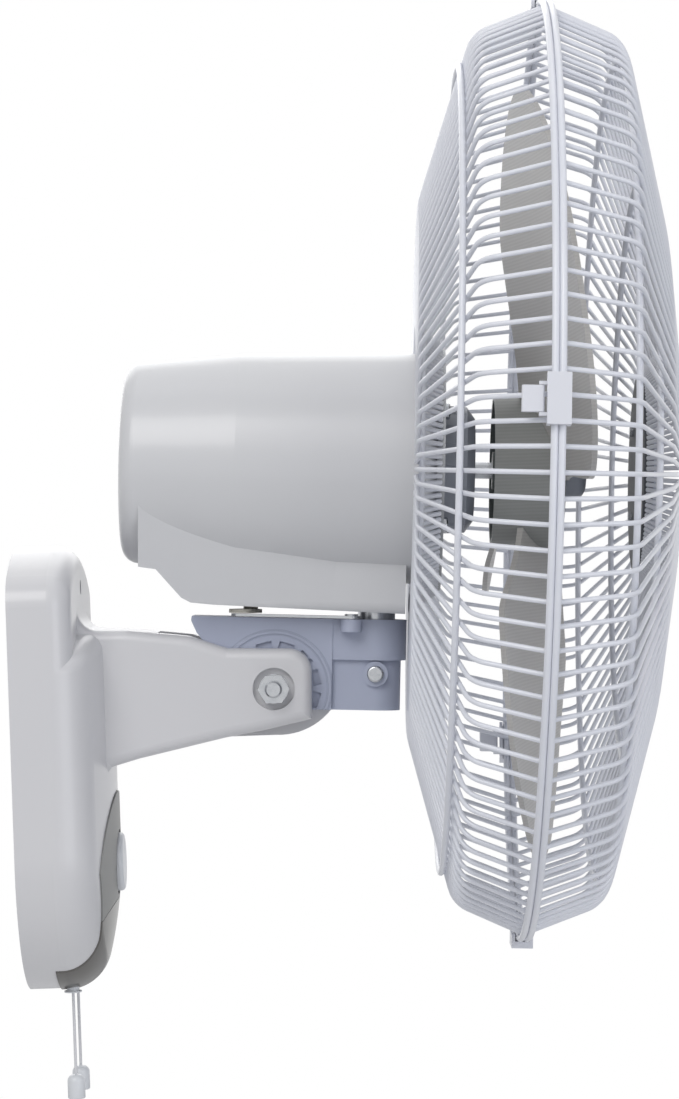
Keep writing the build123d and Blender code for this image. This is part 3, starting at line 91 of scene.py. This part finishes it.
# ------------------------------------------------------------------ shader graph
class Value:
    """A shader number on which Python arithmetic adds Math nodes."""

    def __init__(self, graph: "Graph", socket: bpy.types.NodeSocket) -> None:
        """Wrap one output socket."""
        self.graph = graph
        self.socket = socket

    def maths(self, operation: str, *terms: Any) -> "Value":
        """Add one Math node.

        Args:
            operation: the Math node's operation.
            terms: its inputs in order.

        Returns:
            The node's result.
        """
        node = self.graph.node("ShaderNodeMath", {"operation": operation}, dict(enumerate(terms)))
        return Value(self.graph, node.outputs[0])

    def __add__(self, other: Any) -> "Value":
        """Sum."""
        return self.maths("ADD", self, other)

    __radd__ = __add__

    def __sub__(self, other: Any) -> "Value":
        """Difference."""
        return self.maths("SUBTRACT", self, other)

    def __rsub__(self, other: Any) -> "Value":
        """Difference the other way round."""
        return self.maths("SUBTRACT", other, self)

    def __mul__(self, other: Any) -> "Value":
        """Product."""
        return self.maths("MULTIPLY", self, other)

    __rmul__ = __mul__

    def larger(self, other: Any) -> "Value":
        """The larger of two values."""
        return self.maths("MAXIMUM", self, other)

    def clipped(self) -> "Value":
        """The value held between 0 and 1."""
        return self.maths("MINIMUM", self.larger(0.0), 1.0)


class Graph:
    """The node tree of one material, or of the surroundings."""

    def __init__(self, owner: bpy.types.ID) -> None:
        """Start the tree empty.

        Args:
            owner: the material or world that the tree belongs to.
        """
        owner.use_nodes = True
        self.tree = owner.node_tree
        self.tree.nodes.clear()

    def node(
        self,
        kind: str,
        settings: dict[str, Any] | None = None,
        sockets: dict[Any, Any] | None = None,
    ) -> bpy.types.Node:
        """Add a node of any type.

        Args:
            kind: the node's type.
            settings: its own settings, set first.
            sockets: values or links of its input sockets, by name or number.

        Returns:
            The new node.
        """
        made = self.tree.nodes.new(kind)
        for key, value in (settings or {}).items():
            setattr(made, key, value)
        for key, value in (sockets or {}).items():
            source = value.socket if isinstance(value, Value) else value
            if isinstance(source, bpy.types.NodeSocket):
                self.tree.links.new(source, made.inputs[key])
            else:
                made.inputs[key].default_value = source
        return made

    def place(self) -> bpy.types.NodeSocket:
        """Where a point lies on the finished piece."""
        return self.node("ShaderNodeTexCoord").outputs["Object"]

    def noise(self, scale: float, detail: float) -> Value:
        """Soft noise from 0 to 1 over the piece.

        Args:
            scale: blotches a metre.
            detail: finer layers on top.

        Returns:
            The noise.
        """
        sockets = {"Vector": self.place(), "Scale": scale, "Detail": detail}
        return Value(self, self.node("ShaderNodeTexNoise", sockets=sockets).outputs[0])

    def off_axis(self, centre: Point, axis: Point) -> Value:
        """How far each point lies from an axis, squared.

        Args:
            centre: a point on the axis, metres.
            axis: its direction, of length 1.

        Returns:
            The squared distance, square metres.
        """
        kind = "ShaderNodeVectorMath"
        away = self.node(kind, {"operation": "SUBTRACT"}, {0: self.place(), 1: centre}).outputs[0]
        squared, along = (
            Value(self, self.node(kind, {"operation": "DOT_PRODUCT"}, {0: away, 1: way}).outputs[1])
            for way in (away, axis)
        )
        return squared - along * along

    def mix(self, share: Value, low: Any, high: Any) -> bpy.types.NodeSocket:
        """Mix two colours.

        Args:
            share: 0 for low, 1 for high.
            low: a colour.
            high: a colour.

        Returns:
            The mixed colour.
        """
        node = self.node("ShaderNodeMix", {"data_type": "RGBA"}, {0: share, 6: low, 7: high})
        return node.outputs[2]

    def blend(self, share: Value, low: bpy.types.Node, high: bpy.types.Node) -> bpy.types.Node:
        """Blend two shaders.

        Args:
            share: 0 for low, 1 for high.
            low: a shader.
            high: a shader.

        Returns:
            The blended shader.
        """
        sockets = {0: share, 1: low.outputs[0], 2: high.outputs[0]}
        return self.node("ShaderNodeMixShader", sockets=sockets)


# ------------------------------------------------------------------ finishes
@dataclass(frozen=True)
class Finish:
    """A moulded or coated surface with a faint mottle and a fine grain.

    Attributes:
        name: the material's name.
        colour: its main colour as seen on screen.
        shade: the colour of its darker blotches.
        roughness: how matt it is on the whole.
        metallic: 1 for bare metal.
        coat: weight of a clear top layer.
        mottle_size: size of the blotches, metres.
        grain_size: size of the surface grain, metres.
        grain_depth: height of the surface grain, metres.
        mottle_detail: finer layers in the blotches.
        grain_detail: finer layers in the grain.
        spread: how much the roughness varies between light and dark blotches.
        bump: strength of the grain in the light.
        coat_roughness: how matt the top layer is.
    """

    name: str
    colour: str
    shade: str
    roughness: float
    metallic: float = 0.0
    coat: float = 0.0
    mottle_size: float = 0.06
    grain_size: float = 0.0009
    grain_depth: float = 0.00002
    mottle_detail: float = 4.0
    grain_detail: float = 2.0
    spread: float = 0.08
    bump: float = 0.6
    coat_roughness: float = 0.12

    def pattern(self, graph: Graph) -> Value:
        """How dark each point is, from 0 to 1."""
        return graph.noise(1 / self.mottle_size, self.mottle_detail)

    def relief(self, graph: Graph) -> Value:
        """The height that bump is made from, from 0 to 1."""
        return graph.noise(1 / self.grain_size, self.grain_detail)

    def tint(self, graph: Graph, dark: Value) -> bpy.types.NodeSocket:
        """The surface colour.

        Args:
            graph: the material's graph.
            dark: how dark each point is.

        Returns:
            The colour socket.
        """
        return graph.mix(dark, linear(self.colour), linear(self.shade))

    def material(self) -> bpy.types.Material:
        """Build the material.

        Returns:
            A node material for this finish.
        """
        material = bpy.data.materials.new(self.name)
        graph = Graph(material)
        dark = self.pattern(graph).clipped()
        grain = {
            "Strength": self.bump,
            "Distance": self.grain_depth,
            "Height": self.relief(graph),
        }
        surface = {
            "Base Color": self.tint(graph, dark),
            "Roughness": dark * self.spread + (self.roughness - self.spread / 2),
            "Metallic": self.metallic,
            "Coat Weight": self.coat,
            "Coat Roughness": self.coat_roughness,
            "Normal": graph.node("ShaderNodeBump", sockets=grain).outputs[0],
        }
        shader = graph.node("ShaderNodeBsdfPrincipled", sockets=surface)
        graph.node("ShaderNodeOutputMaterial", sockets={"Surface": shader.outputs[0]})
        return material


@dataclass(frozen=True)
class Banded(Finish):
    """A surface with fine bands across one axis, as in stacked sheets and wound wire; on the blade
    the bands are painted streaks of shade from the guard wires.

    Attributes:
        band: width of one band, metres.
        axis: the wave's direction.
        wobble: how unevenly the bands run.
        band_share: weight of the bands against the mottle.
    """

    band: float = 0.0007
    axis: str = "X"
    wobble: float = 0.6
    band_share: float = 0.7

    def bands(self, graph: Graph) -> Value:
        """The bands, from 0 to 1.

        Args:
            graph: the material's graph.

        Returns:
            The wave.
        """
        node = graph.node(
            "ShaderNodeTexWave",
            {"wave_type": "BANDS", "bands_direction": self.axis},
            {
                "Vector": graph.place(),
                "Scale": WAVE_PERIOD / self.band,
                "Distortion": self.wobble,
            },
        )
        return Value(graph, node.outputs[1])

    def pattern(self, graph: Graph) -> Value:
        """Bands over the plain mottle."""
        mottle = super().pattern(graph)
        return self.bands(graph) * self.band_share + mottle * (1 - self.band_share)

    def relief(self, graph: Graph) -> Value:
        """The bands stand up from the surface."""
        return self.bands(graph)


@dataclass(frozen=True)
class Hubbed(Banded):
    """Blade plastic that is darker over the hub than over the leaves.

    Attributes:
        hub_colour: the hub's colour as seen on screen.
        hub_shade: the colour of its darker blotches.
        hub_radius: where the hub ends, metres from the fan's axis.
        hub_edge: how sharply it ends, per square metre.
        centre: a point on the fan's axis.
        spin: direction of the fan's axis.
    """

    hub_colour: str = "656C6C"
    hub_shade: str = "5F6666"
    hub_radius: float = 0.0375
    hub_edge: float = 9000.0
    centre: Point = (0.24823, 0.0, 0.13409)
    spin: Point = (0.998441, 0.0, -0.055822)

    def tint(self, graph: Graph, dark: Value) -> bpy.types.NodeSocket:
        """The leaves' colour, and the hub's inside its radius.

        Args:
            graph: the material's graph.
            dark: how dark each point is.

        Returns:
            The colour socket.
        """
        depth = self.hub_radius**2 - graph.off_axis(self.centre, self.spin)
        hub = graph.mix(dark, linear(self.hub_colour), linear(self.hub_shade))
        return graph.mix((depth * self.hub_edge).clipped(), super().tint(graph, dark), hub)


@dataclass(frozen=True)
class Rimmed(Finish):
    """Painted casting with a raised rim round the tilt pivot, with painted shade darkening the
    creases beside the rim.

    Attributes:
        pivot: a point on the tilt axis.
        tilt_axis: its direction.
        rim_inner: where the rim begins, metres from the axis.
        rim_outer: where it ends.
        rim_edge: how sharply it begins and ends, per square metre.
        rim_height: how far it stands up, metres.
        painted_crease_shade: the colour of the painted shade in the creases beside the rim.
        painted_shade_width: how wide each band of painted shade is, metres.
        painted_shade_share: how far the painted shade goes to that colour.
    """

    pivot: Point = (0.1216, 0.0, 0.035)
    tilt_axis: Point = (0.0, 1.0, 0.0)
    rim_inner: float = 0.0254
    rim_outer: float = 0.0274
    rim_edge: float = 40000.0
    rim_height: float = 0.0007
    painted_crease_shade: str = "8089A0"
    painted_shade_width: float = 0.0007
    painted_shade_share: float = 0.8

    def ring(self, graph: Graph, inner: float, outer: float) -> Value:
        """1 between two radii and 0 elsewhere, with soft edges.

        Args:
            graph: the material's graph.
            inner: the smaller radius, metres.
            outer: the larger radius, metres.

        Returns:
            The ring.
        """
        away = graph.off_axis(self.pivot, self.tilt_axis)
        past_inner = ((away - inner**2) * self.rim_edge).clipped()
        return past_inner * ((outer**2 - away) * self.rim_edge).clipped()

    def relief(self, graph: Graph) -> Value:
        """The rim over the plain grain."""
        rim = self.ring(graph, self.rim_inner, self.rim_outer)
        return super().relief(graph) + rim * (self.rim_height / self.grain_depth)

    def tint(self, graph: Graph, dark: Value) -> bpy.types.NodeSocket:
        """The paint, with painted shade darkening the creases beside the rim.

        Args:
            graph: the material's graph.
            dark: how dark each point is.

        Returns:
            The colour socket.
        """
        # Painted shade: thin bands just inside and just outside the rim are mixed towards a dark
        # shadow colour.
        shade_inside_rim = self.ring(graph, self.rim_inner - self.painted_shade_width, self.rim_inner)
        shade_outside_rim = self.ring(graph, self.rim_outer, self.rim_outer + self.painted_shade_width)
        painted_shade_mask = (shade_inside_rim + shade_outside_rim).clipped() * self.painted_shade_share
        return graph.mix(painted_shade_mask, super().tint(graph, dark), linear(self.painted_crease_shade))


FINISHES: dict[str, Finish] = {
    "housing_white": Finish("HousingWhite", "D0D1D3", "C9CACE", 0.32, coat=0.2, mottle_size=0.09),
    "base_white": Finish("BaseWhite", "D3D3D5", "CCCCD0", 0.32, coat=0.2, mottle_size=0.09),
    "panel_grey": Finish("PanelGrey", "8A8A89", "7F807F", 0.42),
    "cover_grey": Finish("CoverGrey", "62605D", "565451", 0.3, coat=0.2),
    "knob_white": Finish("KnobWhite", "DCDFE3", "D3D6DB", 0.35, coat=0.1),
    "bracket_grey": Rimmed("BracketGrey", "B3B9CC", "A7AEC2", 0.42),
    "wire_white": Finish("WireWhite", "E2E4EB", "D8DBE4", 0.3, coat=0.2, mottle_size=0.02),
    # Blade: the fine bands across Z are painted streaks of shade cast by the guard wires, over a
    # faint ridged bump; the darker hub is the plastic's own colour.
    "blade_grey": Hubbed("BladeGrey", "B9B7B4", "B0AEAB", 0.38, band=0.0016, axis="Z"),
    "badge_blue": Finish("BadgeBlue", "C0C5CF", "B6BCC7", 0.4),
    "badge_dark": Finish("BadgeDark", "5A5D63", "505358", 0.5),
    "nut_grey": Finish("NutGrey", "9BA0AB", "8F949F", 0.4),
    "clip_white": Finish("ClipWhite", "DDDFE6", "D4D6DE", 0.32, coat=0.1),
    "zinc": Finish("Zinc", "C6C8CB", "A9ACB1", 0.24, metallic=1.0, mottle_size=0.004),
    "plate_steel": Finish("PlateSteel", "A7A9AC", "96989C", 0.38, metallic=0.9, mottle_size=0.012),
    "core_steel": Banded("CoreSteel", "6B6B70", "4A4A4F", 0.5, metallic=0.8, band=0.0005),
    "copper": Banded("Copper", "B0643A", "7E4022", 0.35, metallic=0.8, band=0.0011),
    "black_plastic": Finish("BlackPlastic", "2A2A2C", "202022", 0.5),
    "cast_alloy": Finish(
        "CastAlloy", "B4B6B8", "9C9EA1", 0.5, metallic=0.85, grain_depth=0.00006
    ),
    "bush_nylon": Finish("BushNylon", "D6D2C6", "CBC6B9", 0.5),
    "grommet_rubber": Finish("GrommetRubber", "2E2E2F", "232324", 0.75),
    "cord_white": Banded("CordWhite", "E0E1E4", "C6C7CB", 0.7, band=0.0006, axis="Z"),
}
MADE: dict[str, bpy.types.Material] = {}


def dress(piece: bpy.types.Object, slot: str) -> None:
    """Give a piece the finish of its slot.

    Args:
        piece: the piece.
        slot: the record's material slot.
    """
    if slot not in MADE:
        MADE[slot] = FINISHES[slot].material()
    piece.data.materials.clear()
    piece.data.materials.append(MADE[slot])


# ------------------------------------------------------------------ studio
@dataclass(frozen=True)
class Lamp:
    """One soft square lamp.

    Attributes:
        name: the lamp's name.
        place: where it hangs.
        size: its side length.
        power: its power in watts.
        colour: the colour of its light.
    """

    name: str
    place: Point
    size: float
    power: float
    colour: Point = (1.0, 1.0, 1.0)

    def hang(self, aim: Point) -> None:
        """Hang the lamp in the scene.

        Args:
            aim: the point that it faces.
        """
        data = bpy.data.lights.new(self.name, "AREA")
        data.size, data.energy, data.color = self.size, self.power, self.colour
        lamp = bpy.data.objects.new(self.name, data)
        lamp.location = self.place
        way = Vector(aim) - Vector(self.place)
        lamp.rotation_euler = way.to_track_quat("-Z", "Y").to_euler()
        bpy.context.scene.collection.objects.link(lamp)


@dataclass
class Studio:
    """Camera, lamps, floor and white surroundings.

    Attributes:
        eye: the camera's place.
        roll: how far the camera leans, radians.
        focal_pixels: focal length in pixels of the frame.
        axis_offset: how far the optical axis lies right of the frame's middle, pixels.
        frame_height: height of the frame, pixels.
        sensor: the camera's sensor width, millimetres.
        clip: nearest and furthest distance that the camera sees.
        aim: the point that the lamps face.
        lamps: the soft lamps.
        soft_colour: colour of the even light all round.
        soft_strength: strength of that light.
        floor_z: height of the floor.
        floor_size: side length of the floor.
        floor_colour: the floor's colour as seen on screen.
        floor_white: share of plain white in the floor below the fan, as the camera sees it.
        floor_fade: how fast that share grows outwards, per square metre.
    """

    eye: Point = (0.16463, -1.640, 0.09942)
    roll: float = math.radians(2.0)
    focal_pixels: float = 3408.0
    axis_offset: float = 20.5
    frame_height: float = 1099.0
    sensor: float = 36.0
    clip: tuple[float, float] = (0.05, 50.0)
    aim: Point = (0.16, 0.0, 0.05)
    lamps: tuple[Lamp, ...] = (
        Lamp("key", (-0.6, -1.8, 1.5), 1.3, 21.5, (1.0, 0.985, 0.96)),
        Lamp("fill", (1.4, -1.6, 0.2), 1.2, 8.0, (0.93, 0.95, 1.0)),
        Lamp("top", (0.3, 0.3, 1.9), 1.6, 5.0),
        Lamp("behind", (-0.2, 1.8, 1.0), 1.6, 9.0),
    )
    soft_colour: Colour = (0.96, 0.97, 1.0, 1.0)
    soft_strength: float = 0.46
    floor_z: float = -0.9
    floor_size: float = 8.0
    floor_colour: str = "EEEEEE"
    floor_white: float = 0.75
    floor_fade: float = 0.025

    def camera(self) -> None:
        """Set up the camera at the viewing angle of the photograph."""
        data = bpy.data.cameras.new("camera")
        data.sensor_width = self.sensor
        data.lens = self.focal_pixels * self.sensor / self.frame_height
        data.shift_x = -self.axis_offset / self.frame_height
        data.clip_start, data.clip_end = self.clip
        camera = bpy.data.objects.new("camera", data)
        bpy.context.scene.collection.objects.link(camera)
        lean, rise = math.sin(self.roll), math.cos(self.roll)
        turn = Matrix(((rise, lean, 0.0), (0.0, 0.0, -1.0), (-lean, rise, 0.0)))
        camera.matrix_world = Matrix.Translation(self.eye) @ turn.to_4x4()
        bpy.context.scene.camera = camera

    def world(self) -> None:
        """White behind everything, and an even soft light all round."""
        world = bpy.data.worlds.new("surroundings")
        graph = Graph(world)
        path = graph.node("ShaderNodeLightPath").outputs
        eye, glossy, through = (
            Value(graph, path[f"Is {ray} Ray"]) for ray in ("Camera", "Glossy", "Transmission")
        )
        soft, white = (
            graph.node("ShaderNodeBackground", sockets={"Color": colour, "Strength": strength})
            for colour, strength in ((self.soft_colour, self.soft_strength), (WHITE, 1.0))
        )
        seen = graph.blend(eye.larger(glossy.larger(through)), soft, white)
        graph.node("ShaderNodeOutputWorld", sockets={"Surface": seen.outputs[0]})
        bpy.context.scene.world = world

    def pale(self) -> bpy.types.Material:
        """The floor's material: it takes a shadow, fades out to white and is clear from below.

        Returns:
            The material.
        """
        material = bpy.data.materials.new("FloorPale")
        graph = Graph(material)
        eye = Value(graph, graph.node("ShaderNodeLightPath").outputs["Is Camera Ray"])
        under = Value(graph, graph.node("ShaderNodeNewGeometry").outputs["Backfacing"])
        away = graph.off_axis((0.0, 0.0, 0.0), (0.0, 0.0, 1.0))
        faded = (away * self.floor_fade + self.floor_white).clipped()
        matt = graph.node("ShaderNodeBsdfDiffuse", sockets={"Color": linear(self.floor_colour)})
        white = graph.node("ShaderNodeEmission", sockets={"Color": WHITE, "Strength": 1.0})
        clear = graph.node("ShaderNodeBsdfTransparent")
        whole = graph.blend(eye * under, graph.blend(eye * faded, matt, white), clear)
        graph.node("ShaderNodeOutputMaterial", sockets={"Surface": whole.outputs[0]})
        return material

    def floor(self) -> None:
        """Lay a plain pale floor well below the fan."""
        bpy.ops.object.select_all(action="DESELECT")
        bpy.ops.mesh.primitive_plane_add(size=self.floor_size, location=(0.0, 0.0, self.floor_z))
        floor = bpy.context.object
        floor.name = "floor"
        floor.data.materials.append(self.pale())

    def build(self) -> None:
        """Set the whole studio up."""
        self.camera()
        for lamp in self.lamps:
            lamp.hang(self.aim)
        self.world()
        self.floor()
        bpy.context.scene.view_settings.view_transform = "Standard"


# ------------------------------------------------------------------ pull cords
def round_rim(piece: bpy.types.Object, height: float, width: float, steps: int) -> None:
    """Round the level edges of a piece at one height.

    Args:
        piece: the active piece, a mesh.
        height: where its edges lie, from its own middle.
        width: how far the rounding reaches.
        steps: facets across it.
    """
    bpy.ops.object.mode_set(mode="EDIT")
    bpy.ops.mesh.select_mode(type="EDGE")
    bpy.ops.mesh.select_all(action="DESELECT")
    mesh = bmesh.from_edit_mesh(piece.data)
    for edge in mesh.edges:
        edge.select_set(all(abs(corner.co.z - height) < LEVEL_REACH for corner in edge.verts))
    bmesh.update_edit_mesh(piece.data)
    bpy.ops.mesh.bevel(offset=width, segments=steps, profile=0.5, affect="EDGES")
    bpy.ops.object.mode_set(mode="OBJECT")


@dataclass
class PullCord:
    """One thin cord that hangs from the base and ends in a bell.

    Attributes:
        name: speed or swing.
        body: the body that the cord rides on.
        side: where it hangs along the wall.
        exit_x: how far it hangs from the wall.
        top: height of its hidden upper end.
        leaves: height at which it leaves the base.
        bottom: height at which its bell begins.
        thick: its diameter.
        cord_steps: how finely the cord is rounded.
        bell_radius: radius of the bell.
        bell_height: height of the bell.
        bell_sides: facets round it.
        shoulder: rounding of its upper rim, as a share of its radius, and facets across it.
        foot: the same of its lower rim.
        smooth_angle: edges flatter than this are shaded smooth, degrees.
    """

    name: str
    body: Body
    side: float
    exit_x: float = 20.5 * MM
    top: float = -86.0 * MM
    leaves: float = -106.0 * MM
    bottom: float = -146.0 * MM
    thick: float = 1.4 * MM
    cord_steps: int = 3
    bell_radius: float = 4.2 * MM
    bell_height: float = 11.6 * MM
    bell_sides: int = 32
    shoulder: tuple[float, int] = (0.74, 7)
    foot: tuple[float, int] = (0.2, 3)
    smooth_angle: float = 40.0

    def bell(self) -> bpy.types.Object:
        """Shape the round-shouldered bell at the cord's end.

        Returns:
            The finished bell.
        """
        half = self.bell_height / 2
        bpy.ops.object.select_all(action="DESELECT")
        bpy.ops.mesh.primitive_cylinder_add(
            vertices=self.bell_sides,
            radius=self.bell_radius,
            depth=self.bell_height,
            location=(self.exit_x, self.side, self.bottom - half),
        )
        piece = bpy.context.object
        piece.name = f"{self.name}_cord_pull"
        for height, (share, steps) in ((half, self.shoulder), (-half, self.foot)):
            round_rim(piece, height, share * self.bell_radius, steps)
        bpy.ops.object.transform_apply(location=True, rotation=True, scale=True)
        bpy.ops.object.shade_smooth_by_angle(angle=math.radians(self.smooth_angle))
        dress(piece, "knob_white")
        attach(piece, self.body.value)
        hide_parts(f"{self.name}_cord_bell")
        LOG.info("%s shaped", piece.name)
        return piece

    def build(self) -> None:
        route = [(self.exit_x, self.side, z) for z in (self.top, self.leaves, self.bottom)]
        data = bpy.data.curves.new(f"{self.name}_cord_line", "CURVE")
        data.dimensions = "3D"
        data.bevel_depth = self.thick / 2
        data.bevel_resolution = self.cord_steps
        data.use_fill_caps = True
        spline = data.splines.new("NURBS")
        spline.points.add(len(route) - 1)
        for point, at in zip(spline.points, route):
            point.co = (*at, 1.0)
        spline.order_u = 3
        spline.use_endpoint_u = True
        cord = bpy.data.objects.new(f"{self.name}_cord_hung", data)
        bpy.context.scene.collection.objects.link(cord)
        dress(cord, "cord_white")
        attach(cord, self.body.value)
        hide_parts(f"{self.name}_cord")
        self.bell()
        LOG.info("%s cord hung", self.name)


# ------------------------------------------------------------------ sub-assemblies
@dataclass
class Assembly:
    """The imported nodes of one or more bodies, shown with their finishes.

    Attributes:
        bodies: the bodies that its nodes belong to.
        shown: the nodes it has dressed so far.
    """

    bodies: tuple[Body, ...]
    shown: list[str] = field(default_factory=list)

    def build(self) -> None:
        """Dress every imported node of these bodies."""
        slots = {part["node"]: part["material_slot"] for part in frame["record"]["subparts"]}
        for body in self.bodies:
            for name in frame["record"]["behaviour"]["bodies"][body.value]:
                dress(frame["nodes"][name], slots[name])
                self.shown.append(name)
                LOG.info("%s: %s dressed as %s", type(self).__name__, name, slots[name])


@dataclass
class WallBase(Assembly):
    """Base housing with its arm, controls, switches and wiring hardware."""

    bodies: tuple[Body, ...] = (Body.BASE, Body.KNOB)


@dataclass
class TiltJoint(Assembly):
    """Bracket that tilts on the bolt, with the swing link on it."""

    bodies: tuple[Body, ...] = (Body.BRACKET, Body.LINK)


@dataclass
class MotorHead(Assembly):
    """Motor housing with both guards, the badge, the clips and the swing crank."""

    bodies: tuple[Body, ...] = (Body.HEAD, Body.CRANK, Body.NEAR_LEVER, Body.FAR_LEVER)


@dataclass
class Rotor(Assembly):
    """Shaft, rotor core and blade."""

    bodies: tuple[Body, ...] = (Body.ROTOR,)


@dataclass
class PullFittings(Assembly):
    """Bells and hooks of both pull cords."""

    bodies: tuple[Body, ...] = (Body.SPEED_PULL, Body.SWING_PULL)


def main() -> None:
    """Build the studio, the cords and every sub-assembly in order, and log each piece."""
    logging.basicConfig(level=logging.INFO, format="%(message)s")
    Studio().build()
    PullCord("speed", Body.SPEED_PULL, -14.0 * MM).build()
    PullCord("swing", Body.SWING_PULL, 14.0 * MM).build()
    for assembly in (WallBase(), TiltJoint(), MotorHead(), Rotor(), PullFittings()):
        assembly.build()
        LOG.info("%s: %d pieces dressed", type(assembly).__name__, len(assembly.shown))


if __name__ == "__main__":
    main()
